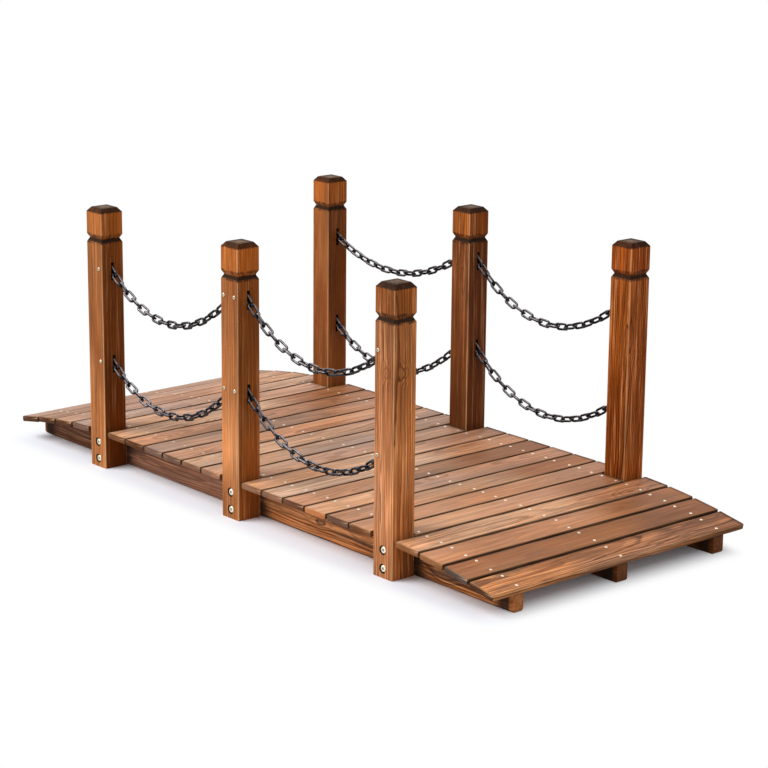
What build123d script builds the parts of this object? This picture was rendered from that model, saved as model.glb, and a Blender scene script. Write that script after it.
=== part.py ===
from build123d import *
import math
import os

# Garden footbridge with chain rails. Millimetres, +Z up. X runs along the walkway, Y across it.
# The origin is on the ground, under the middle of the bridge.

# ---- driving dimensions -------------------------------------------------------------------
deck_length = 1524.0        # over the deck boards, measured flat along X
deck_width = 660.0          # length of a full deck board, across Y
deck_height = 82.0          # walking surface above the ground, between the end posts
end_drop = 36.0             # fall of the walking surface at each end

board_count = 23
board_gap = 4.0
board_thickness = 12.0
board_edge_radius = 2.4     # long edges
board_end_radius = 0.8
level_boards = 13           # boards on the level run, between the end posts

stringer_thickness = 28.0
stringer_end_inset = 1.5    # how far the last board runs past the stringers
stringer_corner_radius = 6.0
stringer_end_radius = 2.5   # upright edges of the stringers' ends
near_end_radius = 7.0       # the near stringer's ends are rounded further

post_width = 54.0
post_edge_radius = 2.0
post_spacing_boards = 7     # boards from one post to the next
post_face_inset = 0.0       # deck edge to the post's outer face
shaft_height = 484.0        # ground to the V groove
groove_height = 17.0
groove_depth = 4.5
head_height = 47.0
cap_height = 9.0
cap_flat = 39.0             # side of the flat on top
post_board_clearance = 2.0  # gap between a short board's end and the post

bolt_radius = 3.0
bolt_clearance = 0.2
bolt_low_height = 18.0
bolt_high_height = 54.0
bolt_head_radius = 7.0
bolt_head_height = 2.8
bolt_recess_radius = 9.5
bolt_recess_depth = 4.0
bolt_cross_width = 1.6      # cross recess for the driver
bolt_cross_span = 6.4
bolt_cross_depth = 1.6
washer_radius = 8.0
washer_thickness = 1.5
nut_across_flats = 10.0
nut_height = 5.0
bolt_tail = 3.0

link_wire = 5.0             # diameter of the chain wire
link_inner_length = 25.8
link_outer_width = 17.5
link_gap = 0.25             # play left between two links
chain_links = 19
tight_chain_links = 18      # the upper chain of the far left bay hangs one link shorter
end_rail_heights = (233.0, 431.0)     # chain screws in the end posts
middle_rail_heights = (264.0, 452.0)  # chain screws in the middle posts

screw_radius = 2.0
screw_clearance = 0.1
screw_length = 44.0
screw_head_radius = 4.2
screw_head_height = 2.2
screw_cross_width = 0.9
screw_cross_span = 4.2
screw_cross_depth = 1.2
head_rim_share = 0.7        # part of a head's height that its soft rim takes
screw_inset = 10.0          # post's inward face to the chain screw's axis
slot_width = 8.0
slot_depth = 21.0
slot_above = 12.0           # slot reaches this far above the chain screw
slot_below = 26.0           # and this far below it
halvings = 60               # steps taken when a length is found by halving
slackest = 3.0              # bounds on a chain's half span over its catenary constant
tautest = 0.05

# ---- values worked out from them ----------------------------------------------------------
board_pitch = (deck_length + board_gap) / board_count
board_width = board_pitch - board_gap
deck_half = deck_length / 2
post_face_y = deck_width / 2 - post_face_inset
stringer_face_y = post_face_y - post_width
stringer_y = stringer_face_y - stringer_thickness / 2
post_y = post_face_y - post_width / 2
post_step = post_spacing_boards * board_pitch
stringer_half = deck_half - stringer_end_inset
stringer_top = deck_height - board_thickness
level_half = level_boards * board_pitch / 2
drop_run = deck_half + board_gap / 2 - level_half
drop_radius = (drop_run ** 2 + end_drop ** 2) / (2 * end_drop)
head_base = shaft_height + groove_height
cap_base = head_base + head_height
screw_offset = post_width / 2 - screw_inset
short_board_length = 2 * (stringer_face_y - post_board_clearance)

SIDES = {"near": -1, "far": 1}
STATIONS = {"left": -1, "middle": 0, "right": 1}
LEVELS = ("lower", "upper")


def drop_at(x):
    """Fall of the deck line at x: none on the level run, then a circular arc."""
    past = abs(x) - level_half
    if past <= 0:
        return 0.0
    return drop_radius - math.sqrt(drop_radius ** 2 - past ** 2)


def seam_x(index):
    """X of the seam below board `index` (0 is the left end of the deck)."""
    return (index - board_count / 2) * board_pitch


def deck_line(x):
    """Height of the stringer's top at x: straight facets from seam to seam."""
    at = x / board_pitch + board_count / 2
    index = min(max(math.floor(at), 0), board_count - 1)
    part = at - index
    low, high = drop_at(seam_x(index)), drop_at(seam_x(index + 1))
    return stringer_top - low * (1 - part) - high * part


def rod(radius, length, start, direction):
    """Round bar from a start point along a direction."""
    return Plane(origin=start, z_dir=direction) * extrude(Circle(radius), amount=length)


# ---- stringers ----------------------------------------------------------------------------
def stringer(y, outer_side, end_radius):
    """Solid plank on edge: flat below, faceted on top so that each board lies flush."""
    seams = [seam_x(i) for i in range(1, board_count)]
    top = [(x, deck_line(x)) for x in [-stringer_half] + seams + [stringer_half]]
    outline = Polyline(*top, (stringer_half, 0), (-stringer_half, 0), close=True)
    face = Plane.XZ * make_face(outline)
    body = extrude(face, amount=stringer_thickness)
    body = Pos(0, y + stringer_thickness / 2, 0) * body
    feet = [e for e in body.edges().filter_by(Axis.Y) if e.center().Z < 1]
    body = fillet(feet, stringer_corner_radius)
    body = fillet(body.edges().filter_by(Axis.Z), end_radius)
    if outer_side:
        for x in (-post_step, 0, post_step):
            for z in (bolt_low_height, bolt_high_height):
                start = (x, y - stringer_thickness, z)
                body -= rod(bolt_radius + bolt_clearance, 2 * stringer_thickness, start, (0, 1, 0))
    return body


# ---- deck boards --------------------------------------------------------------------------
def is_post_board(index):
    """True where a board lies between two posts and is cut short."""
    return (index - board_count // 2) % post_spacing_boards == 0


def deck_board(index):
    """One board, lying on its facet of the stringers."""
    left, right = seam_x(index), seam_x(index + 1)
    fall = drop_at(right) - drop_at(left)
    tilt = math.degrees(math.atan2(fall, board_pitch))
    length = short_board_length if is_post_board(index) else deck_width
    blank = Box(board_width, length, board_thickness, align=(Align.CENTER, Align.CENTER, Align.MIN))
    blank = fillet(blank.edges().filter_by(Axis.Y), board_edge_radius)
    ends = blank.faces().sort_by(Axis.Y)
    blank = fillet(ends[0].edges() + ends[-1].edges(), board_end_radius)
    middle = (left + right) / 2
    seat = stringer_top - (drop_at(left) + drop_at(right)) / 2
    return Pos(middle, 0, seat) * Rot(0, tilt, 0) * blank


# ---- posts --------------------------------------------------------------------------------
def post_section(width, z):
    """Rounded square section of a post at a height."""
    return Plane.XY.offset(z) * RectangleRounded(width, width, post_edge_radius)


def post_length(width_low, width_high, z_low, z_high):
    """Straight or tapered length of a post."""
    sections = [post_section(width_low, z_low), post_section(width_high, z_high)]
    return loft(sections, ruled=True)


def chain_slot(side, z):
    """Cutter for the slot that takes a chain's end link, on the -X (-1) or +X (1) face."""
    height = slot_above + slot_below
    x = side * (post_width / 2 - slot_depth / 2 + 1)
    return Pos(x, 0, z + (slot_above - slot_below) / 2) * Box(slot_depth + 2, slot_width, height)


def post(station, side):
    """Post with V groove, head and chamfered cap, slotted and drilled where chains end."""
    waist = post_width - 2 * groove_depth
    half_groove = shaft_height + groove_height / 2
    body = post_length(post_width, post_width, 0, shaft_height)
    body += post_length(post_width, waist, shaft_height, half_groove)
    body += post_length(waist, post_width, half_groove, head_base)
    body += post_length(post_width, post_width, head_base, cap_base)
    body += post_length(post_width, cap_flat, cap_base, cap_base + cap_height)
    outer = side * post_width / 2
    for bay_side in bay_sides(station):
        for z in rail_heights(station):
            body -= chain_slot(bay_side, z)
            start = (bay_side * screw_offset, outer, z)
            body -= rod(screw_radius + screw_clearance, screw_length + 1, start, (0, -side, 0))
    for z in (bolt_low_height, bolt_high_height):
        start = (0, outer + side, z)
        body -= rod(bolt_radius + bolt_clearance, post_width + 2, start, (0, -side, 0))
        body -= rod(bolt_recess_radius, bolt_recess_depth + 1, start, (0, -side, 0))
    return Pos(station * post_step, side * post_y, 0) * body


def bay_sides(station):
    """Faces of a post that carry chains: both on a middle post, the inward one on an end post."""
    return (-1, 1) if station == 0 else (-station,)


def rail_heights(station):
    """Heights of the chain screws in a post."""
    return middle_rail_heights if station == 0 else end_rail_heights


# ---- bolts and chain screws ---------------------------------------------------------------
def post_bolt(x, side, z):
    """Round-headed bolt through post and stringer, with washer and nut on the inside."""
    inward = (0, -side, 0)
    seat = post_face_y - bolt_recess_depth
    inner_face = stringer_face_y - stringer_thickness
    shank = seat - inner_face + washer_thickness + nut_height + bolt_tail
    bolt = rod(bolt_radius, shank, (x, side * seat, z), inward)
    head = screw_head(bolt_head_radius, bolt_head_height)
    head -= cross_recess(bolt_cross_width, bolt_cross_span, bolt_cross_depth, bolt_head_height)
    bolt += Plane(origin=(x, side * seat, z), z_dir=(0, side, 0)) * head
    bolt += rod(washer_radius, washer_thickness, (x, side * inner_face, z), inward)
    nut_start = (x, side * (inner_face - washer_thickness), z)
    nut = extrude(RegularPolygon(nut_across_flats / 2, 6, major_radius=False), amount=nut_height)
    bolt += Plane(origin=nut_start, z_dir=inward) * nut
    return bolt


def screw_head(radius, height):
    """Low round head with a softened rim, standing on XY."""
    head = extrude(Circle(radius), amount=height)
    rim = head.edges().filter_by(GeomType.CIRCLE).sort_by(Axis.Z)[-1]
    return fillet(rim, height * head_rim_share)


def cross_recess(width, span, depth, head_height):
    """Cutter for the driver's cross in a head's top."""
    bar = Box(span, width, depth, align=(Align.CENTER, Align.CENTER, Align.MAX))
    return Pos(0, 0, head_height) * Rot(0, 0, 45) * (bar + Rot(0, 0, 90) * bar)


def chain_screw(x, side, z):
    """Pan-head screw from a post's outer face, across the slot."""
    face = post_face_y
    shank = rod(screw_radius, screw_length, (x, side * face, z), (0, -side, 0))
    head = screw_head(screw_head_radius, screw_head_height)
    head -= cross_recess(screw_cross_width, screw_cross_span, screw_cross_depth, screw_head_height)
    return shank + Plane(origin=(x, side * face, z), z_dir=(0, side, 0)) * head


# ---- chains -------------------------------------------------------------------------------
def chain_link():
    """One oval link in the XZ plane, long axis on X, centred on the origin."""
    bend = (link_outer_width - link_wire) / 2
    straight = link_inner_length + 2 * link_wire - link_outer_width
    section = Pos(-straight / 2, 0, bend) * Rot(0, 90, 0) * Circle(link_wire / 2)
    side_bar = extrude(section, amount=straight, dir=(1, 0, 0))
    half_ring = revolve(Pos(straight / 2, 0, bend) * Rot(0, 90, 0) * Circle(link_wire / 2),
                        axis=Axis((straight / 2, 0, 0), (0, 1, 0)), revolution_arc=180)
    half = side_bar + half_ring
    return half + Rot(0, 180, 0) * half


def catenary(span, rise, tightness):
    """Curve y(x) = c + a cosh((x - m) / a) from (0, 0) to (span, rise), with a = span / (2 tightness)."""
    a = span / (2 * tightness)
    middle = span / 2 - a * math.asinh(rise / (2 * a * math.sinh(tightness)))
    return lambda x: a * (math.cosh((x - middle) / a) - math.cosh(middle / a))


def walk(curve, lengths):
    """Points met on the curve by laying straight steps of the given lengths from its start."""
    points = [(0.0, 0.0)]
    for length in lengths:
        x0, z0 = points[-1]
        low, high = 0.0, length
        for _ in range(halvings):
            step = (low + high) / 2
            if math.hypot(step, curve(x0 + step) - z0) < length:
                low = step
            else:
                high = step
        points.append((x0 + low, curve(x0 + low)))
    return points


def hang(span, rise, links):
    """Joint points of a hanging chain: the sag is found by halving, so that the links just reach."""
    pitch = link_inner_length - link_gap
    end = pitch - screw_radius
    lengths = [end] + [pitch] * (links - 2) + [end]
    loose, taut = slackest, tautest
    for _ in range(halvings):
        tightness = (loose + taut) / 2
        reach = walk(catenary(span, rise, tightness), lengths)[-1][0]
        if reach < span:
            loose = tightness
        else:
            taut = tightness
    return walk(catenary(span, rise, tightness), lengths)


def chain(bay, side, level, links):
    """Chain between two neighbouring posts: links turned by turns, with a slow twist to fit."""
    start_station, end_station = (-1, 0) if bay < 0 else (0, 1)
    start_x = start_station * post_step + screw_offset
    end_x = end_station * post_step - screw_offset
    start_z = rail_heights(start_station)[level]
    end_z = rail_heights(end_station)[level]
    joints = hang(end_x - start_x, end_z - start_z, links)
    quarter_turns = 2 if links % 2 else 1
    twist = quarter_turns * 90 / (links - 1)
    link = chain_link()
    solids = []
    for i in range(links):
        (x0, z0), (x1, z1) = joints[i], joints[i + 1]
        length = math.hypot(x1 - x0, z1 - z0)
        ux, uz = (x1 - x0) / length, (z1 - z0) / length
        half = (link_inner_length - link_gap) / 2
        if i == 0:
            cx, cz = x1 - ux * half, z1 - uz * half
        else:
            cx, cz = x0 + ux * half, z0 + uz * half
        turn = math.radians(i * (90 + twist))
        side_axis = (-uz * math.sin(turn), math.cos(turn), ux * math.sin(turn))
        place = Plane(origin=(start_x + cx, side * post_y, start_z + cz), x_dir=(ux, 0, uz),
                      z_dir=cross((ux, 0, uz), side_axis))
        solids.append(place * link)
    return solids


def cross(a, b):
    """Cross product of two directions."""
    return (a[1] * b[2] - a[2] * b[1], a[2] * b[0] - a[0] * b[2], a[0] * b[1] - a[1] * b[0])


# ---- write every node ---------------------------------------------------------------------
def write(name, solids):
    """One STEP file for one node; several loose solids share it as a compound."""
    shape = solids[0] if len(solids) == 1 else Compound(children=solids)
    export_step(shape, f"parts/{name}.step")


def main():
    os.makedirs("parts", exist_ok=True)
    write("stringer_near", [stringer(-stringer_y, True, near_end_radius)])
    write("stringer_middle", [stringer(0, False, stringer_end_radius)])
    write("stringer_far", [stringer(stringer_y, True, stringer_end_radius)])
    for index in range(board_count):
        write(f"deck_board_{index + 1:02d}", [deck_board(index)])
    for side_name, side in SIDES.items():
        bolts = []
        screws = []
        for station_name, station in STATIONS.items():
            write(f"post_{side_name}_{station_name}", [post(station, side)])
            x = station * post_step
            bolts += [post_bolt(x, side, z) for z in (bolt_low_height, bolt_high_height)]
            for bay_side in bay_sides(station):
                for z in rail_heights(station):
                    screws.append(chain_screw(x + bay_side * screw_offset, side, z))
        write(f"post_bolts_{side_name}", bolts)
        write(f"chain_screws_{side_name}", screws)
        for bay_name, bay in (("left", -1), ("right", 1)):
            for level, level_name in enumerate(LEVELS):
                tight = (side_name, bay_name, level_name) == ("far", "left", "upper")
                links = tight_chain_links if tight else chain_links
                write(f"chain_{side_name}_{bay_name}_{level_name}", chain(bay, side, level, links))


main()
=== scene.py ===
"""Dresses a small garden footbridge of burnt, stained timber with chain rails.

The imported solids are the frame. Posts, stringers, chains, bolts and chain screws keep their solids
and get their finishes here. The deck boards are made again with worn edges and their own grain, and
the small screws that hold them down are added.
"""

import math

import bpy
import numpy as np
from mathutils import Matrix, Vector


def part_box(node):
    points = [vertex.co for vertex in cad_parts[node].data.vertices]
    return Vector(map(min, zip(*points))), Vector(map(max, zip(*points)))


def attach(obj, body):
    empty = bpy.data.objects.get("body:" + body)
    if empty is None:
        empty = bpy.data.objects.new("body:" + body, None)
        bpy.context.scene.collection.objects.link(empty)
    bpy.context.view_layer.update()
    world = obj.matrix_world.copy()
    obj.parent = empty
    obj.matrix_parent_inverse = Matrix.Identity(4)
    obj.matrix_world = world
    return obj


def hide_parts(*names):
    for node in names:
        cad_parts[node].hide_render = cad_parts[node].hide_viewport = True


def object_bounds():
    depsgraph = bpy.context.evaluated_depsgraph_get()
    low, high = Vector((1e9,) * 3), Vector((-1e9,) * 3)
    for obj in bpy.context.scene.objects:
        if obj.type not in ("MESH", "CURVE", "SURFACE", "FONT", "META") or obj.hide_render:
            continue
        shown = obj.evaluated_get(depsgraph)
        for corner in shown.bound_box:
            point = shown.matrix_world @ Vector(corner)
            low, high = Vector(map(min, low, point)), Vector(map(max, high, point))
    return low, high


bl_info = {
    "name": "Garden Footbridge",
    "version": (1, 0, 0),
    "blender": (4, 5, 0),
    "location": "View3D > Sidebar > Footbridge",
    "description": "Finishes a small timber footbridge with burnt wood, steel chain and zinc screws",
    "category": "Object",
}

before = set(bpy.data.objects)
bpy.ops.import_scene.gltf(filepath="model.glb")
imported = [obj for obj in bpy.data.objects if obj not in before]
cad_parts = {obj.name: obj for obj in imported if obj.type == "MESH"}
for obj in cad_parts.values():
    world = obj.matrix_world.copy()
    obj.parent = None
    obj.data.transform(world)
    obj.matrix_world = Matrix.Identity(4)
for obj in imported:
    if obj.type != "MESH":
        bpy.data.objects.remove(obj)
CAD_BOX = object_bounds()

BOARD_NODES = sorted(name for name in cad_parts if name.startswith("deck_board_"))
POST_NODES = sorted(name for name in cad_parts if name.startswith("post_") and "bolts" not in name)
STRINGER_NODES = ("stringer_near", "stringer_middle", "stringer_far")
CHAIN_NODES = sorted(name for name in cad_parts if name.startswith("chain_") and "screws" not in name)

# The box of a level board gives the section that all boards have.
LEVEL_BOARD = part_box("deck_board_12")
BOARD_WIDTH = LEVEL_BOARD[1].x - LEVEL_BOARD[0].x
BOARD_THICKNESS = LEVEL_BOARD[1].z - LEVEL_BOARD[0].z

# Where the random draws start for the first board and for the first row of deck screws.
BOARD_SEED = 700
SCREW_SEED = 40

# One row for each deck board, left to right: its tone near the viewer's end, in the middle and at the
# far end, the strength of its figure, how much soot is left on it, the tone of its sawn near end, and how
# far the rim of that end is rubbed. A rim that is rubbed less than half keeps some of its burn. The three
# tones are the board's stain with a painted sheen laid in: paler, pinker tones where the deck catches the
# light, mostly near the viewer's end and in the middle, and darker browns towards the far end.
BOARD_LOOKS = (
    ("dust", "cocoa", "dust", 0.60, 0.50, "tar", 0.10),
    ("cocoa", "clay", "sand", 0.70, 0.30, "tar", 0.30),
    ("clay", "tan", "straw", 0.80, 0.30, "tar", 0.55),
    ("ash", "clay", "pale", 0.80, 0.40, "driftwood", 0.05),
    ("straw", "clay", "clay", 0.70, 0.30, "hazel", 0.20),
    ("straw", "cream", "umber", 0.65, 0.30, "chestnut", 0.05),
    ("tan", "russet", "brown", 0.50, 0.40, "tar", 0.00),
    ("dust", "cocoa", "russet", 0.50, 0.60, "driftwood", 0.10),
    ("sand", "tan", "sand", 0.55, 0.30, "driftwood", 0.05),
    ("cream", "pale", "clay", 0.60, 0.30, "hazel", 0.55),
    ("straw", "ash", "dust", 0.40, 0.40, "buff", 0.45),
    ("pale", "clay", "dust", 0.45, 0.30, "hazel", 0.20),
    ("peach", "cream", "russet", 0.45, 0.30, "hazel", 0.15),
    ("cream", "cream", "tan", 0.60, 0.20, "hazel", 0.20),
    ("sand", "cocoa", "dusk", 0.35, 0.30, "bark", 0.00),
    ("peach", "clay", "russet", 0.40, 0.30, "honey", 0.55),
    ("sand", "straw", "umber", 0.40, 0.20, "driftwood", 0.00),
    ("sand", "tan", "tan", 0.25, 0.15, "chestnut", 0.50),
    ("straw", "sand", "brown", 0.25, 0.15, "hazel", 0.30),
    ("peach", "peach", "brown", 0.70, 0.10, "ginger", 0.50),
    ("tan", "tan", "umber", 0.25, 0.20, "ginger", 0.50),
    ("umber", "umber", "dusk", 0.25, 0.40, "slate", 0.40),
    ("amber", "brown", "umber", 1.00, 0.60, "tar", 0.70),
)

# For each post: how light the tone of its front face is at the foot, low down, half way up, at the top
# of the shaft and on the head; the same for its right-hand face; how warm the shaft and the head are;
# the strength of the figure on the shaft and on the head; its soot; and the three piece numbers that
# place its heartwood and turn its grain. The tones are the post's own stain with painted light and
# shade laid in, face by face and from foot to head: the heads are mostly lighter, and the feet of the
# middle and right near posts darker.
POST_LOOKS = {
    "post_near_left": (
        (0.88, 0.77, 0.57, 0.70, 0.85), (0.30, 0.30, 0.32, 0.44, 0.77),
        (1.00, 0.68), (0.45, 0.50), 0.40, (0.31, 0.62, 0.20)),
    "post_near_middle": (
        (0.74, 1.36, 0.82, 0.62, 0.80), (0.60, 0.70, 0.50, 0.48, 0.76),
        (1.10, 0.64), (0.45, 0.55), 0.30, (0.74, 0.35, 0.55)),
    "post_near_right": (
        (0.75, 1.17, 0.95, 0.64, 0.56), (0.70, 0.80, 1.18, 0.84, 0.64),
        (1.55, 0.86), (0.85, 0.95), 0.20, (0.48, 0.15, 0.80)),
    "post_far_left": (
        (0.46, 0.47, 0.54, 0.68, 0.80), (0.50, 0.57, 0.38, 0.32, 0.66),
        (1.05, 0.60), (0.35, 0.50), 0.30, (0.15, 0.81, 0.35)),
    "post_far_middle": (
        (0.27, 0.29, 0.40, 0.39, 0.73), (0.28, 0.29, 0.23, 0.24, 0.43),
        (1.40, 0.58), (0.55, 0.55), 0.35, (0.62, 0.52, 0.65)),
    "post_far_right": (
        (0.50, 0.53, 0.52, 0.68, 0.65), (0.70, 0.75, 0.62, 0.65, 0.58),
        (0.36, 0.22), (1.20, 0.90), 0.35, (0.88, 0.27, 0.10)),
}

# Shares of a post's height at which its first four tones stand, from the foot to the top of the shaft.
SHAFT_PLACES = (0.08, 0.25, 0.45, 0.66)

# The right-hand faces of the posts take a warmer tone than the front ones, partly as painted shade.
SIDE_WARMTH = 0.68

# Where a branch ran through a post: its height and how far the middle of the mark lies off each face's
# middle line.
POST_KNOTS = {"post_near_right": (0.392, 0.006, 0.001)}

# For each stringer: how light and how warm its tone is, and how much of its figure shows, left of the
# first post, in the two bays and right of the last post; the strength of its figure, its soot, its
# piece numbers, and the place along the bridge and the height of its largest knot. The near
# stringer's darker tones, darkest at its left end, are partly painted shade from the deck above it.
STRINGER_LOOKS = {
    "stringer_near": (
        ((0.36, 2.20, 0.5), (0.76, 2.60, 0.5), (1.00, 1.10, 0.8), (1.00, 1.00, 1.0)),
        1.50, 0.80, (0.42, 0.30, 0.75), (0.218, 0.038)),
    "stringer_middle": (((0.34, 1.00, 1.0),) * 4, 0.60, 0.70, (0.12, 0.70, 0.35), (-0.310, 0.030)),
    "stringer_far": (((0.34, 1.00, 1.0),) * 4, 0.60, 0.70, (0.85, 0.55, 0.15), (0.120, 0.042)),
}


# ---------------------------------------------------------------- settings


def colour(label, text, default):
    """A colour that the sidebar shows as a swatch."""
    return bpy.props.FloatVectorProperty(
        name=label, description=text, subtype="COLOR", size=3, min=0.0, max=1.0, default=default
    )


def distance(label, text, default):
    """A length in metres."""
    return bpy.props.FloatProperty(
        name=label, description=text, subtype="DISTANCE", unit="LENGTH", default=default, precision=5
    )


def angle(label, text, degrees):
    """An angle, given in degrees."""
    return bpy.props.FloatProperty(
        name=label, description=text, subtype="ANGLE", unit="ROTATION", default=math.radians(degrees)
    )


def power(label, text, default):
    """What a lamp gives off, in watts."""
    return bpy.props.FloatProperty(name=label, description=text, unit="POWER", default=default)


class FOOTBRIDGE_PG_timber(bpy.types.PropertyGroup):
    """Sizes and colours of the timber pieces."""

    # Several deck stains, the palest most of all, also carry the deck's painted sheen.
    ash: colour("Ash Stain", "Deck boards gone grey", (0.460, 0.290, 0.210))
    cream: colour("Cream Stain", "Palest parts of the deck boards", (0.700, 0.430, 0.275))
    peach: colour("Peach Stain", "Palest, warm parts of the deck boards", (0.800, 0.420, 0.225))
    straw: colour("Straw Stain", "Pale, warm parts of the deck boards", (0.650, 0.350, 0.195))
    pale: colour("Pale Stain", "Lightest deck boards", (0.600, 0.345, 0.215))
    clay: colour("Clay Stain", "Pinkish deck boards", (0.520, 0.290, 0.192))
    dust: colour("Dust Stain", "Dull, middle deck boards", (0.420, 0.235, 0.150))
    sand: colour("Sand Stain", "Light, warm deck boards", (0.590, 0.298, 0.168))
    amber: colour("Amber Stain", "Orange parts of the deck boards", (0.620, 0.245, 0.085))
    tan: colour("Tan Stain", "Warm deck boards", (0.560, 0.260, 0.132))
    russet: colour("Russet Stain", "Middle brown deck boards", (0.465, 0.220, 0.120))
    cocoa: colour("Cocoa Stain", "Dark, dull parts of the deck boards", (0.370, 0.190, 0.108))
    brown: colour("Brown Stain", "Deep brown deck boards", (0.410, 0.175, 0.080))
    umber: colour("Umber Stain", "Dark brown deck boards", (0.350, 0.136, 0.052))
    dusk: colour("Dusk Stain", "Darkest deck boards", (0.285, 0.108, 0.042))
    tar: colour("Tar End", "Board ends burnt black-brown", (0.072, 0.026, 0.010))
    bark: colour("Bark End", "Board ends burnt brown", (0.115, 0.048, 0.025))
    chestnut: colour("Chestnut End", "Board ends of a deep reddish brown", (0.150, 0.058, 0.022))
    slate: colour("Slate End", "Board ends burnt to grey", (0.090, 0.060, 0.048))
    driftwood: colour("Driftwood End", "Board ends gone grey-brown", (0.150, 0.078, 0.052))
    hazel: colour("Hazel End", "Board ends of a middle brown", (0.225, 0.108, 0.060))
    buff: colour("Buff End", "Light board ends", (0.275, 0.130, 0.072))
    ginger: colour("Ginger End", "Reddish board ends", (0.230, 0.092, 0.034))
    honey: colour("Honey End", "Board ends left unburnt", (0.470, 0.170, 0.060))
    post: colour("Post Stain", "Posts before their own share is taken", (0.500, 0.178, 0.052))
    stringer: colour("Stringer Stain", "Bearers before their own share is taken", (0.430, 0.160, 0.048))
    late_wood: colour("Late Wood", "What the dark part of a ring multiplies the stain by", (0.30, 0.22, 0.17))
    # Soot is also the colour of the painted shade in the seams, slots, bolt recesses and beside the posts.
    soot: colour("Soot", "Charred wood", (0.020, 0.011, 0.007))
    smoke: colour("Smoke", "Brown smoke marks", (0.080, 0.052, 0.034))
    # Also the colour of the painted highlights on the post arrises and on the boards' right upper edges.
    bare_and_highlight: colour("Worn Timber", "Edges rubbed through the stain", (0.820, 0.480, 0.250))
    sawn: colour("Sawn Top", "End grain on the flat top of a post", (0.230, 0.150, 0.100))
    ring_width: distance("Ring Width", "Growth of one year", 0.0052)
    pith_depth: distance("Heart Depth", "How far the heart of the tree lies below the face", 0.034)
    edge_radius: distance("Board Edge", "Rounding along a board's long edges", 0.0024)
    end_radius: distance("Board End", "Rounding round a board's sawn ends", 0.0018)
    groove_below_top: distance("Groove Below Top", "Middle of a post's groove below its top", 0.0645)
    groove_half: distance("Groove Half Height", "Half the height of the burnt groove", 0.0085)
    cap_height: distance("Cap Height", "Height of the burnt slopes at a post's top", 0.009)


class FOOTBRIDGE_PG_metal(bpy.types.PropertyGroup):
    """Finishes of the chain and the fixings, and the sizes of the deck screws."""

    chain: colour("Chain Steel", "Dark coated chain", (0.014, 0.012, 0.014))
    # Colour of the chain's rubbed patches and of the painted highlight on the upper side of its wire.
    chain_highlight_and_wear: colour("Rubbed Steel", "Chain rubbed bright on its upper side", (0.300, 0.272, 0.290))
    zinc: colour("Zinc", "Bolt and screw heads", (0.900, 0.830, 0.680))
    zinc_dull: colour("Dull Zinc", "Tarnish on the heads", (0.520, 0.430, 0.310))
    # Painted shade in the sunk cross of a bolt's head.
    cross_shade: colour("Grime", "Dirt in a bolt's cross", (0.020, 0.016, 0.012))
    cross_reach: distance("Cross Reach", "Furthest reach of a bolt's cross from its axis", 0.0036)
    bolt_step: distance("Bolt Step", "Height from one bolt to the next", 0.036)
    head_radius: distance("Screw Head Radius", "Radius of a deck screw's head", 0.0030)
    head_rise: distance("Screw Head Rise", "How far a deck screw's head stands proud", 0.0006)
    head_sink: distance("Screw Head Sink", "How far a deck screw's head reaches into its board", 0.0010)
    recess_depth: distance("Driver Recess", "Depth of the cross in a deck screw", 0.0009)
    pair_offset: distance("Screw Pair Offset", "A screw's distance from its board's middle line", 0.0195)
    row_jitter: distance("Row Jitter", "How far screws stray from their row", 0.0024)


class FOOTBRIDGE_PG_stage(bpy.types.PropertyGroup):
    """Floor, lamps and camera."""

    floor: colour("Floor", "Pale studio floor", (0.875, 0.915, 0.985))
    key_power: power("Key Power", "Large lamp from the left", 340.0)
    fill_power: power("Fill Power", "Lamp close by on the right", 9.0)
    ambient: bpy.props.FloatProperty(
        name="Ambient", description="Light from the whole studio",
        subtype="FACTOR", min=0.0, max=1.0, default=0.42
    )
    azimuth: angle("Azimuth", "Camera turned round the bridge", 49.40)
    elevation: angle("Elevation", "Camera above the horizon", 14.62)
    roll: angle("Roll", "Camera turned about its line of sight", 0.53)
    aim: bpy.props.FloatVectorProperty(
        name="Aim", description="Point that the camera looks at",
        subtype="TRANSLATION", unit="LENGTH", size=3, default=(0.0070, 0.0624, 0.2134)
    )
    reach: distance("Reach", "Camera to the aim point", 5.06)
    lens: bpy.props.FloatProperty(
        name="Lens", description="Focal length in millimetres", unit="CAMERA", default=114.88
    )


# ---------------------------------------------------------------- node wiring


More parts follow.
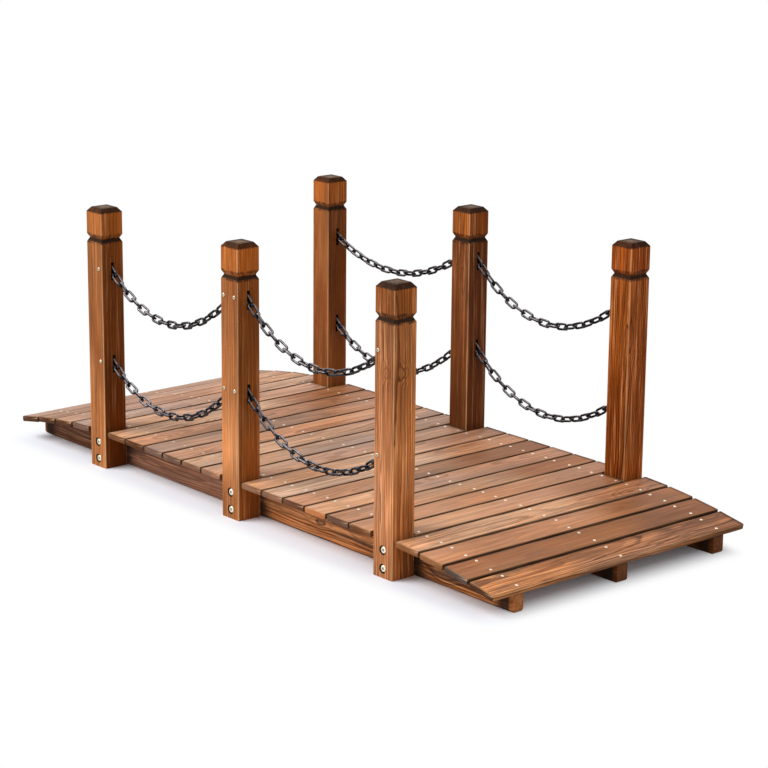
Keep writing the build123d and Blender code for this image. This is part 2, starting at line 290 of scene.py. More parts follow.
class Wiring:
    """Adds nodes to one node tree and joins their sockets."""

    def __init__(self, tree):
        self.tree = tree
        self.count = 0

    def add(self, kind, **settings):
        """A new node with its settings, laid out in rows of twelve."""
        node = self.tree.nodes.new(kind)
        node.location = (200 * (self.count % 12), -260 * (self.count // 12))
        self.count += 1
        for name, value in settings.items():
            setattr(node, name, value)
        return node

    def feed(self, socket, value):
        """Joins a socket to another one, or sets its own value."""
        if isinstance(value, bpy.types.NodeSocket):
            self.tree.links.new(value, socket)
        else:
            socket.default_value = value

    def fit(self, node, **values):
        """Feeds a node's inputs by name, with underscores for spaces; returns its outputs."""
        for name, value in values.items():
            self.feed(node.inputs[name.replace("_", " ")], value)
        return node.outputs

    def fill(self, kind, *values, **settings):
        """A new node whose first sockets take the values in order; returns its outputs."""
        node = self.add(kind, **settings)
        for socket, value in zip(node.inputs, values):
            self.feed(socket, value)
        return node.outputs

    def math(self, operation, *values, clamp=False):
        """One sum on numbers."""
        return self.fill("ShaderNodeMath", *values, operation=operation, use_clamp=clamp)[0]

    def times(self, *values):
        """The product of some numbers."""
        product = values[0]
        for value in values[1:]:
            product = self.math("MULTIPLY", product, value)
        return product

    def most(self, *values):
        """The largest of some numbers."""
        largest = values[0]
        for value in values[1:]:
            largest = self.math("MAXIMUM", largest, value)
        return largest

    def line(self, value, slope, start):
        """A straight rise: slope times the value, plus start."""
        return self.math("MULTIPLY_ADD", value, slope, start)

    def minus(self, first, second):
        """What is left of the first number."""
        return self.math("SUBTRACT", first, second)

    def off(self, first, second=0.0):
        """How far two numbers lie apart."""
        return self.math("ABSOLUTE", self.minus(first, second))

    def sum(self, *parts):
        """A weighted sum; each part is a value and its weight."""
        total = 0.0
        for value, weight in parts:
            total = self.line(value, weight, total)
        return total

    def vector(self, operation, first, second):
        """One sum on vectors."""
        return self.fill("ShaderNodeVectorMath", first, second, operation=operation)["Vector"]

    def length(self, x, y, z):
        """The length of the vector with these three parts."""
        return self.fill("ShaderNodeVectorMath", self.join(x, y, z), operation="LENGTH")["Value"]

    def span(self, value, low, high, start=0.0, end=1.0):
        """A soft step: start below low, end above high, and a smooth rise between."""
        numbers = (value, low, high, start, end)
        return self.fill("ShaderNodeMapRange", *numbers, interpolation_type="SMOOTHSTEP")["Result"]

    def blend(self, factor, first, second, kind="MIX"):
        """Two colours mixed by a factor."""
        node = self.add("ShaderNodeMix", data_type="RGBA", blend_type=kind)
        for index, value in ((0, factor), (6, first), (7, second)):
            self.feed(node.inputs[index], value)
        return node.outputs[2]

    def ramp(self, value, stops):
        """A colour and an alpha that change along a value; each stop is its place and its colour."""
        node = self.add("ShaderNodeValToRGB")
        self.feed(node.inputs[0], value)
        elements = node.color_ramp.elements
        for element, (place, tone) in zip((elements[0], elements[1]), (stops[0], stops[-1])):
            element.position = place
            element.color = tone
        for place, tone in stops[1:-1]:
            elements.new(place).color = tone
        return node.outputs

    def noise(self, place, stretch, detail, roughness, output="Fac"):
        """Soft noise with its own number of waves per metre in each direction."""
        node = self.add("ShaderNodeTexNoise")
        stretched = self.vector("MULTIPLY", place, stretch)
        return self.fit(node, Vector=stretched, Scale=1.0, Detail=detail, Roughness=roughness)[output]

    def split(self, vector):
        """The three numbers of a vector."""
        return self.fill("ShaderNodeSeparateXYZ", vector)

    def join(self, x, y, z):
        """Three numbers as one vector."""
        return self.fill("ShaderNodeCombineXYZ", x, y, z)[0]

    def coordinates(self):
        """Object coordinates, and the surface's normal in the object's frame."""
        outputs = self.add("ShaderNodeTexCoord").outputs
        return outputs["Object"], outputs["Normal"]

    def use(self, group, **values):
        """A shared group with its inputs fed."""
        return self.fit(self.add("ShaderNodeGroup", node_tree=bpy.data.node_groups[group]), **values)


def rgba(values):
    """A colour with its alpha."""
    return (values[0], values[1], values[2], 1.0)


def laid_on(stain, share, warmth):
    """A stain laid on thinner or thicker: each colour is multiplied by a power of the share.

    A thick coat takes more green than red and more blue than green, so the powers rise. Warmth
    below 1 takes out blue, and a quarter as strongly green.
    """
    coat = (share, share ** 1.25 * warmth ** 0.25, share ** 1.65 * warmth)
    return tuple(value * part for value, part in zip(stain, coat))


# ---------------------------------------------------------------- shared groups


def new_group(name, inputs, outputs):
    """An empty shader group; returns its wiring and the sockets of its two ends.

    Its sockets are given in rows: their kind, then the names of those that have it.
    """
    group = bpy.data.node_groups.new(name, "ShaderNodeTree")
    for end, rows in (("INPUT", inputs), ("OUTPUT", outputs)):
        for kind, *labels in rows:
            for label in labels:
                group.interface.new_socket(label, in_out=end, socket_type="NodeSocket" + kind)
    w = Wiring(group)
    return w, w.add("NodeGroupInput").outputs, w.add("NodeGroupOutput").inputs


# The outputs of Timber Figure that Burnt Stain takes in under the same names.
SHARED_FIGURE = ("Late Wood", "Streak", "Fibre", "Cloud", "Hue", "Smudge", "Knot")


def build_figure_group():
    """Timber Figure: growth rings, streaks, fibres, clouds and knots of a sawn piece.

    The rings are circles round a heart line that lies below the face and wanders slowly, so a flat
    face cuts them into long arches. A ring darkens slowly from spring to autumn and then stops short.
    Knots push the rings aside.
    """
    w, given, out = new_group(
        "Timber Figure",
        (("Vector", "Place", "Piece"),
         ("Float", "Ring Width", "Pith Depth", "Arch", "Knottiness", "Knot Distance")),
        (("Float", *SHARED_FIGURE, "Height"),),
    )
    piece = w.split(given["Piece"])
    place = w.split(given["Place"])
    # Every piece is cut from a part of the noise of its own.
    away = w.vector("ADD", given["Place"], w.vector("MULTIPLY", given["Piece"], (9.0, 9.0, 9.0)))

    def along_grain(waves, cross_waves, detail, roughness, output="Fac"):
        """Noise with few waves per metre along the grain and more across it."""
        return w.noise(away, (waves, cross_waves, cross_waves), detail, roughness, output)

    # The small knots stand in cells, and a share of the cells has one. The large knot is a dark core in
    # a dark ring of bark.
    cells = w.add("ShaderNodeTexVoronoi")
    w.fit(cells, Vector=w.vector("MULTIPLY", away, (6.5, 11.0, 11.0)), Scale=1.0)
    chosen = w.math("LESS_THAN", w.split(cells.outputs["Color"])[0], given["Knottiness"])
    near, branch = cells.outputs["Distance"], given["Knot Distance"]
    bark_radius = 0.0070
    bark = w.span(w.off(branch, bark_radius), 0.0004, 0.0022, 0.60, 0.0)
    core = w.span(branch, 0.0010, 0.0028, 0.45, 0.0)
    knot = w.most(w.times(w.span(near, 0.04, 0.09, 1.0, 0.0), chosen), bark, core)
    bulge = w.times(w.span(near, 0.0, 0.42, 1.0, 0.0), chosen)
    bulge = w.most(bulge, w.span(branch, 0.0, 0.022, 0.8, 0.0))

    wander_reach, ripple_reach, knot_push = 0.030, 0.0060, 0.011
    wander = w.split(w.vector("SUBTRACT", along_grain(2.4, 9.0, 2.0, 0.5, "Color"), (0.5, 0.5, 0.5)))
    ripple = w.minus(along_grain(8.0, 55.0, 3.0, 0.6), 0.5)
    lean = w.times(w.minus(piece[2], 0.5), given["Arch"])
    across = w.minus(place[1], w.times(w.minus(piece[0], 0.5), 0.05))
    across = w.line(wander[0], wander_reach, across)
    below = w.math("ADD", place[2], w.times(given["Pith Depth"], w.line(piece[1], 0.8, 0.6)))
    below = w.line(wander[1], wander_reach, w.line(place[0], lean, below))
    radius = w.line(ripple, ripple_reach, w.length(0.0, across, below))
    radius = w.line(bulge, -knot_push, radius)
    rings = w.math("DIVIDE", radius, given["Ring Width"])
    year = w.add("ShaderNodeTexWhiteNoise", noise_dimensions="1D")
    w.feed(year.inputs["W"], w.math("FLOOR", rings))
    season = w.math("FRACT", rings)
    late = w.times(w.span(season, 0.32, 0.86), w.span(season, 0.88, 1.0, 1.3, 0.0))
    late = w.times(late, w.line(year.outputs["Value"], 0.85, 0.15))

    streak = along_grain(3.4, 165.0, 2.0, 0.6)
    late = w.times(late, w.span(streak, 0.30, 0.60, 0.45, 1.15))
    fibre = w.sum((along_grain(9.0, 380.0, 3.0, 0.62), 0.7), (along_grain(30.0, 1500.0, 2.0, 0.6), 0.3))
    cloud, hue, _ = w.split(along_grain(4.0, 17.0, 3.0, 0.55, "Color"))
    smudge = along_grain(7.0, 36.0, 4.0, 0.62)
    height = w.sum((late, 0.55), (fibre, 0.7))
    for socket, value in zip(out, (late, streak, fibre, cloud, hue, smudge, knot, height)):
        w.feed(socket, value)


def build_stain_group(timber):
    """Burnt Stain: lays figure, knots, soot, rubbed edges and char over a stain, in that order.

    The stain, the rubbed edges and the char that are fed in also carry painted light and shade: a
    painted sheen and painted tones in the stain, painted highlights on some edges, and painted shade
    in the seams, the hollows and beside the posts.
    """
    w, given, out = new_group(
        "Burnt Stain",
        (("Color", "Stain"), ("Float", "Figure", *SHARED_FIGURE, "Soot", "Worn", "Scorch")),
        (("Color", "Colour"), ("Float", "Roughness")),
    )
    soot, smoke, bare_and_highlight = rgba(timber.soot), rgba(timber.smoke), rgba(timber.bare_and_highlight)
    strength = given["Figure"]
    late = w.math("MULTIPLY", given["Late Wood"], strength, clamp=True)
    dark = w.blend(1.0, given["Stain"], rgba(timber.late_wood), "MULTIPLY")
    tone = w.blend(late, given["Stain"], dark)
    light = w.line(w.span(given["Streak"], 0.36, 0.64, -1.0, 1.0), w.line(strength, 0.26, 0.02), 1.0)
    fine = w.line(w.span(given["Fibre"], 0.38, 0.62, -1.0, 1.0), w.line(strength, 0.26, 0.07), 1.0)
    light = w.times(light, fine, w.span(given["Cloud"], 0.32, 0.68, 0.84, 1.20))
    tone = w.blend(1.0, tone, w.join(light, light, light), "MULTIPLY")
    warm, cool = (1.05, 0.98, 0.88, 1.0), (0.96, 1.01, 1.08, 1.0)
    tone = w.blend(1.0, tone, w.blend(w.span(given["Hue"], 0.34, 0.66), warm, cool), "MULTIPLY")
    brushed = w.span(w.sum((given["Streak"], 0.5), (given["Fibre"], 0.5)), 0.53, 0.64)
    tone = w.blend(w.times(brushed, w.line(strength, 0.34, 0.02)), tone, bare_and_highlight)
    tone = w.blend(w.times(given["Knot"], 0.85), tone, w.blend(0.35, soot, tone))
    cover = w.span(w.line(given["Soot"], 0.15, given["Smudge"]), 0.66, 0.80)
    cover = w.times(cover, w.math("MULTIPLY", given["Soot"], 1.3, clamp=True))
    tone = w.blend(cover, tone, w.blend(0.35, smoke, tone))
    tone = w.blend(given["Worn"], tone, bare_and_highlight)
    tone = w.blend(given["Scorch"], tone, w.blend(0.05, soot, tone))
    rough = w.span(given["Fibre"], 0.3, 0.7, 0.44, 0.58)
    w.feed(out["Colour"], tone)
    w.feed(out["Roughness"], w.math("MULTIPLY_ADD", given["Scorch"], 0.25, rough, clamp=True))


def build_scuff_group():
    """Scuffs: patches where a metal coat is rubbed through, broken up by fine scratches."""
    w, given, out = new_group(
        "Scuffs", (("Vector", "Place"), ("Float", "Patch", "Amount")), (("Float", "Mask", "Grain"),)
    )
    patch = w.join(given["Patch"], given["Patch"], given["Patch"])
    broad = w.noise(given["Place"], patch, 3.0, 0.6)
    fine = w.noise(given["Place"], w.vector("MULTIPLY", patch, (7.0, 7.0, 7.0)), 2.0, 0.6)
    past_edge = w.minus(w.sum((broad, 0.7), (fine, 0.3)), w.line(given["Amount"], -0.4, 0.72))
    w.feed(out["Mask"], w.span(past_edge, -0.05, 0.08))
    w.feed(out["Grain"], fine)


# ---------------------------------------------------------------- materials


# How strongly the finishes mirror their surroundings.
GLOSS = {"deck": 0.20, "sawn": 0.04, "post": 0.05, "stringer": 0.08}

# How deep the grain of the timber and the scratches of the metal seem to be, in metres.
GRAIN_DEPTH = 0.0006
SCRATCH_DEPTH = 0.0003


def new_material(name):
    """An empty node material; returns it with its wiring and its one surface shader."""
    material = bpy.data.materials.new(name)
    material.use_nodes = True
    material.node_tree.nodes.clear()
    w = Wiring(material.node_tree)
    shader = w.add("ShaderNodeBsdfPrincipled")
    w.fit(w.add("ShaderNodeOutputMaterial"), Surface=shader.outputs["BSDF"])
    return material, w, shader


def raise_grain(w, shader, height, strength, depth):
    """Lets the light pick out a fine relief on a surface."""
    bump = w.add("ShaderNodeBump")
    w.fit(bump, Strength=strength, Distance=depth, Height=height)
    w.feed(shader.inputs["Normal"], bump.outputs["Normal"])


def finish_timber(w, shader, figure, relief, gloss, **marks):
    """Lays Burnt Stain with the marks over a Timber Figure and wires it into the timber's shader."""
    shared = {name.replace(" ", "_"): figure[name] for name in SHARED_FIGURE}
    stain = w.use("Burnt Stain", **shared, **marks)
    w.fit(shader, Base_Color=stain["Colour"], Roughness=stain["Roughness"], Specular_IOR_Level=gloss)
    raise_grain(w, shader, figure["Height"], strength=relief, depth=GRAIN_DEPTH)


def rubbed_and_lit_in_places(w, figure, edges):
    """Rubbed edges that come and go with the clouds in the timber; the edges fed in carry painted highlights
    as well as wear.
    """
    return w.times(edges, w.span(figure["Cloud"], 0.30, 0.60, 0.35, 0.90))


def deck_material(timber, name, gloss):
    """Deck timber that reads each board's own grain, stain and wear from the attributes on its mesh."""
    material, w, shader = new_material(name)

    def attribute(label, output="Fac"):
        return w.add("ShaderNodeAttribute", attribute_name=label).outputs[output]

    strength = attribute("figure")
    ring_width = w.line(strength, -0.4 * timber.ring_width, 1.1 * timber.ring_width)
    figure = w.use("Timber Figure", Place=attribute("grain", "Vector"), Piece=attribute("piece", "Vector"),
                   Ring_Width=ring_width, Pith_Depth=timber.pith_depth, Arch=0.09,
                   Knottiness=0.22, Knot_Distance=1.0)
    # The burnt attribute holds char, and along the seams and each board's left upper edge painted shade as
    # well; the worn attribute holds rubbed edges, with a painted highlight on each right upper edge.
    burnt = w.times(attribute("burnt"), w.span(figure["Fibre"], 0.35, 0.6, 1.0, 0.8))
    finish_timber(
        w, shader, figure, relief=0.45, gloss=gloss, Stain=attribute("stain", "Color"), Figure=strength,
        Soot=attribute("soot"), Worn=rubbed_and_lit_in_places(w, figure, attribute("worn")), Scorch=burnt
    )
    return material


def middle_and_half(node):
    """The middle of a solid's box and half of its size."""
    low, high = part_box(node)
    return (low + high) / 2, (high - low) / 2


def measured_place(w, centre, order):
    """Where a point lies in a solid's grain and from the solid's middle, its plain place and its normal.

    The order names the coordinates as the grain takes them, the one along the grain first.
    """
    coordinates, normal = w.coordinates()
    measured = w.split(w.vector("SUBTRACT", coordinates, centre))
    return w.join(*(measured["XYZ".index(letter)] for letter in order)), measured, coordinates, normal


def arris_mask(w, first, second, half_first, half_second, reach):
    """1 along the corners of a square or flat section and 0 a little way in from them."""
    near_first = w.span(w.off(first), half_first - reach, half_first)
    near_second = w.span(w.off(second), half_second - reach, half_second)
    return w.times(near_first, near_second)


def post_material(timber, node):
    """Post Timber: upright grain, with a burnt groove, burnt slopes on the cap and a sawn flat top.

    The groove is burnt in patches, most at its bottom and along both rims. The flat top is burnt
    towards its rim. The inside of the chain slots and of the bolt recesses is painted black as painted
    shade.
    """
    front_shares, side_shares, warmths, strengths, soot, piece = POST_LOOKS[node]
    centre, half = middle_and_half(node)
    material, w, shader = new_material("Post Timber " + node[len("post_"):].replace("_", " ").title())
    place, (x, y, z), coordinates, normal = measured_place(w, centre, "ZXY")
    branch = 1.0
    if node in POST_KNOTS:
        height, off_front, off_side = POST_KNOTS[node]
        near_line = w.math("MINIMUM", w.off(x, off_front), w.off(y, off_side))
        branch = w.length(w.times(w.minus(z, height - half.z), 0.72), near_line, 0.0)
    figure = w.use("Timber Figure", Place=place, Piece=piece, Ring_Width=timber.ring_width * 0.85,
                   Pith_Depth=timber.pith_depth, Arch=0.10, Knottiness=0.10, Knot_Distance=branch)

    ragged = w.minus(w.noise(coordinates, (260.0, 260.0, 150.0), 3.0, 0.65), 0.5)
    patchy = w.noise(coordinates, (70.0, 70.0, 110.0), 2.0, 0.6)
    groove_height = half.z - timber.groove_below_top
    groove = w.line(ragged, 0.009, w.off(z, groove_height))
    rims = w.span(w.off(groove, timber.groove_half), 0.0006, 0.0026, 0.8, 0.0)
    rims = w.times(rims, w.span(patchy, 0.40, 0.60))
    bottom = w.times(w.span(groove, 0.0008, 0.0042, 0.90, 0.0), w.span(patchy, 0.30, 0.60, 0.55, 1.0))
    sides = w.span(groove, timber.groove_half - 0.0008, timber.groove_half + 0.0014, 0.45, 0.0)
    sides = w.times(sides, w.span(patchy, 0.35, 0.60, 0.5, 1.6))

    cap_foot = half.z - timber.cap_height
    flat_top = w.span(w.split(normal)[2], 0.80, 0.92)
    flat_top = w.times(flat_top, w.math("GREATER_THAN", z, half.z - 0.002))
    slopes = w.span(w.line(ragged, 0.004, z), cap_foot - 0.0022, cap_foot + 0.0012)
    slopes = w.times(slopes, w.minus(1.0, flat_top), w.span(patchy, 0.30, 0.60, 0.86, 0.97))
    off_middle = w.line(ragged, 0.016, w.most(w.off(x), w.off(y)))
    top_rim = w.times(flat_top, w.span(off_middle, 0.005, 0.014, 0.20, 0.72))

    # Below the groove and above the foot, only the inside of a slot lies under the faces.
    under_face, above_foot = 0.0012, 0.0004
    # There the timber is painted black: painted shade in the slots and the bolt recesses.
    slot = w.times(
        w.math("LESS_THAN", w.off(x), half.x - under_face),
        w.math("LESS_THAN", w.off(y), half.y - under_face),
        w.math("LESS_THAN", z, groove_height),
        w.math("GREATER_THAN", z, above_foot - half.z),
    )
    scorch_and_shade = w.most(sides, rims, bottom, slopes, top_rim, slot)

    # Rubbed arrises: real wear, and a painted highlight along the edges.
    worn = rubbed_and_lit_in_places(w, figure, arris_mask(w, x, y, half.x, half.y, reach=0.0026))
    in_head = w.math("GREATER_THAN", z, groove_height)
    up_post = w.line(z, 0.5 / half.z, 0.5)

    # The face tones from POST_LOOKS carry painted light and shade together with the stain.
    def face_tone(shares, warmer):
        shaft = [rgba(laid_on(timber.post, share, warmths[0] * warmer)) for share in shares[:4]]
        head = rgba(laid_on(timber.post, shares[4], warmths[1] * warmer))
        return w.blend(in_head, w.ramp(up_post, tuple(zip(SHAFT_PLACES, shaft)))["Color"], head)

    # The right-hand faces take their own tone, which holds painted light and shade.
    side = w.span(w.split(normal)[0], 0.45, 0.65)
    tone = w.blend(side, face_tone(front_shares, 1.0), face_tone(side_shares, SIDE_WARMTH))
    tone = w.blend(flat_top, tone, rgba(timber.sawn))
    strength = w.line(in_head, strengths[1] - strengths[0], strengths[0])
    finish_timber(w, shader, figure, relief=0.40, gloss=GLOSS["post"],
                  Stain=tone, Figure=strength, Soot=soot, Worn=worn, Scorch=scorch_and_shade)
    return material


def stringer_material(timber, node):
    """Stringer Timber: grain along the bridge with arches and knots, a tone for each bay and burnt ends.

    Burnt patches lie towards the ends. On the outer stringers a patchy painted shadow lies right of
    each post, darkest next to the post itself. The last few centimetres are burnt nearly all over, the
    sawn ends only a little.
    """
    bays, strength, soot, piece, knot = STRINGER_LOOKS[node]
    centre, half = middle_and_half(node)
    material, w, shader = new_material("Stringer Timber " + node[len("stringer_"):].title())
    place, (x, y, z), _, normal = measured_place(w, centre, "XZY")
    along = w.times(w.minus(x, knot[0] - centre.x), 0.55)
    branch = w.length(along, w.minus(z, knot[1] - centre.z), 0.0)
    figure = w.use("Timber Figure", Place=place, Piece=piece, Ring_Width=timber.ring_width * 1.1,
                   Pith_Depth=timber.pith_depth * 0.7, Arch=0.07, Knottiness=0.45, Knot_Distance=branch)

    # Both sides of the three far posts, from left to right: the tone changes from one side to the other.
    sides = [corner.x - centre.x for name in POST_NODES[:3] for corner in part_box(name)]
    stops = [(-half.x, bays[0])]
    for first, second, bay_left, bay_right in zip(sides[::2], sides[1::2], bays, bays[1:]):
        stops += [(first, bay_left), (second, bay_right)]
    stops.append((half.x, bays[-1]))
    # The bay tones are partly painted shade from the deck above.
    stops = [((stop / half.x + 1.0) / 2, (*laid_on(timber.stringer, light, warmth), shown))
             for stop, (light, warmth, shown) in stops]
    tint = w.ramp(w.line(x, 0.5 / half.x, 0.5), stops)

    from_end = w.minus(half.x, w.off(x))
    strength = w.times(tint["Alpha"], strength, w.span(from_end, 0.0, 0.080, 0.35, 1.0))
    # Right of each post on the outer stringers: a painted shadow, patchy and darkest next to the post.
    post_step = sides[2] - sides[0]
    from_post = w.math("FLOORED_MODULO", w.minus(x, sides[3]), post_step)
    shadow_right_of_post = w.span(from_post, 0.006, 0.045, 0.0 if node == "stringer_middle" else 0.95, 0.0)
    shadow_at_post = w.times(shadow_right_of_post, w.span(from_post, 0.008, 0.024, 0.85, 0.0))
    ends = w.times(w.span(from_end, 0.015, 0.075, 1.0, 0.0), w.span(from_end, 0.005, 0.018, 0.2, 1.0))
    patches = w.times(w.most(ends, shadow_right_of_post), w.span(figure["Smudge"], 0.35, 0.50))
    nose = w.times(w.span(from_end, 0.030, 0.060, 0.95, 0.0), w.span(from_end, 0.008, 0.015))
    nose = w.times(nose, w.span(figure["Smudge"], 0.20, 0.36, 0.6, 1.0))
    sawn_end = w.times(w.math("GREATER_THAN", w.off(w.split(normal)[0]), 0.9), 0.25)
    scorch_and_shade = w.most(patches, shadow_at_post, nose, sawn_end)
    worn = w.times(arris_mask(w, y, z, half.y, half.z, reach=0.0022), 0.35)
    finish_timber(w, shader, figure, relief=0.45, gloss=GLOSS["stringer"],
                  Stain=tint["Color"], Figure=strength, Soot=soot, Worn=worn, Scorch=scorch_and_shade)
    return material


def coated_metal(name, patch, amount, smooth, rough):
    """A metal whose scratches set how rough it is; returns its wiring, shader and scuffs too.

    The patch is the number of scuffs per metre, and the amount how much of the metal they take.
    """
    material, w, shader = new_material(name)
    scuffs = w.use("Scuffs", Place=w.coordinates()[0], Patch=patch, Amount=amount)
    w.fit(shader, Metallic=1.0, Roughness=w.span(scuffs["Grain"], 0.3, 0.7, smooth, rough))
    return material, w, shader, scuffs


def zinc_material(metal, name, patch, amount, smooth, rough):
    """Zinc that is dull and scratched in patches; returns its wiring, shader and colour too."""
    material, w, shader, scuffs = coated_metal(name, patch, amount, smooth, rough)
    coat = w.blend(scuffs["Mask"], rgba(metal.zinc), rgba(metal.zinc_dull))
    w.fit(shader, Base_Color=coat)
    raise_grain(w, shader, scuffs["Grain"], strength=0.20, depth=SCRATCH_DEPTH)
    return material, w, shader, coat


def chain_material(metal):
    """Coated Chain Steel: a dark coat, rubbed bright in patches, with a painted highlight on the upper side
    of the wire.
    """
    material, w, shader, scuffs = coated_metal(
        "Coated Chain Steel", patch=190.0, amount=0.55, smooth=0.20, rough=0.36
    )
    # Upward-facing wire takes the bright colour: a painted highlight, broken up by the scuffs.
    upward = w.span(w.split(w.coordinates()[1])[2], 0.40, 0.92)
    rubbed = w.times(upward, w.line(scuffs["Mask"], 0.45, 0.55))
    rubbed = w.most(rubbed, w.times(scuffs["Mask"], 0.12))
    w.fit(shader, Base_Color=w.blend(rubbed, rgba(metal.chain), rgba(metal.chain_highlight_and_wear)))
    return material


def bolt_material(metal, node):
    """Zinc Bolt: bright heads with painted shade in the driver's cross.

    The cross lies close to a bolt's axis. The axes repeat from post to post and from the lower bolt
    to the upper one, so wrapped coordinates give the distance from the nearest of them.
    """
    name = "Zinc " + node.replace("_", " ").title()
    material, w, shader, coat = zinc_material(metal, name, patch=240.0, amount=0.30, smooth=0.30, rough=0.46)
    low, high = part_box(node)
    outside = max(high.y, -low.y)
    post_step = middle_and_half("post_near_middle")[0].x - middle_and_half("post_near_left")[0].x
    x, y, z = w.split(w.coordinates()[0])
    off_x = w.math("WRAP", x, post_step / 2, -post_step / 2)
    bolt_top = (low.z + high.z) / 2 + metal.bolt_step / 2
    off_z = w.math("WRAP", w.minus(z, bolt_top), metal.bolt_step / 2, -metal.bolt_step / 2)
    # The sunk cross is painted dark: painted shade in the recess.
    least_depth = 0.00025
    sunk = w.math("GREATER_THAN", w.minus(outside, w.off(y)), least_depth)
    cross_shade = w.times(sunk, w.math("LESS_THAN", w.length(off_x, 0.0, off_z), metal.cross_reach))
    w.fit(shader, Base_Color=w.blend(cross_shade, coat, rgba(metal.cross_shade)))
    return material


def dress(node, material):
    """Gives a solid of the frame its finish."""
    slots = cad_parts[node].data.materials
    slots.clear()
    slots.append(material)


# ---------------------------------------------------------------- meshes


def section_rows(arc_steps):
    """Weights that place the points of a rounded rectangle, in order round it.

    A point lies at (a * (half width - r) + b * r, c * (half height - r) + d * r). On a corner a and
    c are its signs and (b, d) turns through a quarter circle; along a face a or c slides between
    the corners. The fifth row is 1 on the corners and 0 on the faces, the sixth names the corner.
    """
    quarter = np.linspace(0.0, math.pi / 2, arc_steps + 1)
    turns = ((1, -1, -math.pi / 2), (1, 1, 0.0), (-1, 1, math.pi / 2), (-1, -1, math.pi))
    rows = []
    for corner, (side_x, side_z, start) in enumerate(turns):
        turn = start + quarter
        rows.append(np.broadcast_arrays(side_x, np.cos(turn), side_z, np.sin(turn), 1.0, corner))
        end = start + math.pi / 2
        if corner in (1, 3):
            slide = side_x * np.array([0.94, 0.55, 0.0, -0.55, -0.94])
            rows.append(np.broadcast_arrays(slide, np.cos(end), side_z, np.sin(end), 0.0, corner))
        else:
            slide = side_z * np.array([0.8, 0.0, -0.8])
            rows.append(np.broadcast_arrays(side_x, np.cos(end), slide, np.sin(end), 0.0, corner))
    return np.concatenate(rows, axis=1)


def wave(place, phases, length):
    """A slow wave from -1 to 1: three sines of unlike lengths, each with its own phase."""
    turns = 2 * math.pi * place[:, None] / length
    return (np.sin(turns + phases[0]) + np.sin(1.7 * turns + phases[1]) + np.sin(3.1 * turns + phases[2])) / 3


def board_surface(length, edge, end, near_rubbed, random):
    """Points, rubbed edges and burnt edges of one board, as rings of its section from end to end.

    Each ring is a rounded rectangle. Its corner radius swells and shrinks along the board, each
    corner in its own wave; near the sawn ends the ring shrinks along a quarter circle. The upper
    corner on the right is rubbed, more than the left one, and carries a painted highlight; the one on
    the left is burnt, partly as char and partly as painted shade beside the seam. The sides are burnt in
    the seams, partly as char and partly as painted shade in the gaps. On top, a margin at each end is
    burnt, lightly at the near end and wider at the far one; where the rim of the end is rubbed, less of
    the burn is left.
    """
    arc_steps, spans = 3, 40
    wave_length, swell, largest_skew, most_far_rubbed = 0.21, 0.42, 0.012, 0.25
    a, b, c, d, corner_share, corner = section_rows(arc_steps)
    quarter = np.linspace(0.0, math.pi / 2, arc_steps + 1)
    # Two rings behind each end let its burnt margin stop there.
    border = end * np.array([3.5, 6.5])
    inner = np.linspace(end, length - end, spans + 1)[1:-1]
    inner = np.concatenate([border, inner, length - border[::-1]])
    stations = np.concatenate([end - end * np.cos(quarter), inner, length - end + end * np.sin(quarter)])
    inset = np.concatenate([end - end * np.sin(quarter), 0.0 * inner, end - end * np.cos(quarter)])[:, None]
    phases = random.uniform(0.0, 2 * math.pi, (4, 3))
    waves = np.concatenate([wave(stations, row, wave_length).T for row in phases])
    waves = waves[corner.astype(int)].T
    radius = edge * (1.0 + swell * waves)
    across = a * (BOARD_WIDTH / 2 - inset - radius) + b * radius
    through = c * (BOARD_THICKNESS / 2 - inset - radius) + d * radius
    skew = random.uniform(-largest_skew, largest_skew)
    along = stations[:, None] - length / 2 + skew * across

    upper_corners = corner_share * np.sin(math.pi * np.clip(d, 0.0, 1.0)) ** 0.5
    # The right upper corner is rubbed more than the left one: wear with a painted highlight.
    worn = upper_corners * np.where(b > 0.0, 1.0, 0.35) * (0.75 + 0.25 * waves)
    near = stations < length / 2
    rubbed = np.where(near, near_rubbed, random.uniform(0.0, most_far_rubbed))[:, None]
    on_top = d > 0.2
    worn = np.maximum(worn, rubbed * np.sin(math.pi * np.clip(inset / end, 0.0, 1.0)) * on_top)

    # The burn on the sides, on the lower arcs and on the left upper edge is char and painted shade in the
    # seams.
    side_burn_and_shade, arc_burn_and_shade, left_burn_and_shade, near_burn, far_burn = 0.98, 0.85, 0.95, 0.45, 1.00
    seam = np.where(np.abs(b) > 0.8, side_burn_and_shade, np.where(np.abs(b) > 0.4, arc_burn_and_shade, 0.0))
    left_edge = (b < 0.1) * (a < -0.96) * (d > 0.7) * left_burn_and_shade
    straight = inset < 0.2 * end
    burnt = straight * np.maximum(seam, left_edge * (1.0 + 0.4 * waves))
    from_end = np.minimum(stations, length - stations)
    margin = np.clip(1.8 - from_end / (np.where(near, 1.0, 3.6) * end), 0.0, 1.0)
    margin = margin * np.where(near, near_burn, far_burn) * (from_end > 0.05 * end)
    burnt = np.maximum(burnt, (1.0 - 2.0 * rubbed) * margin[:, None] * on_top)
    return np.stack([along, across, through], axis=2), worn, burnt


def ring_faces(rings, points):
    """Quads between neighbouring rings, and a fan over each end from one added middle point."""
    start = np.arange(rings - 1)[:, None] * points
    rim = np.arange(points)
    turn = (rim + 1) % points
    quads = np.stack([start + rim, start + turn, start + points + turn, start + points + rim], axis=2)
    first, last = rings * points, rings * points + 1
    base = last - 1 - points
    first_fan = np.stack([turn, rim, np.full(points, first)], axis=1)
    last_fan = np.stack([base + rim, base + turn, np.full(points, last)], axis=1)
    return quads.reshape(-1, 4), np.concatenate([first_fan, last_fan])


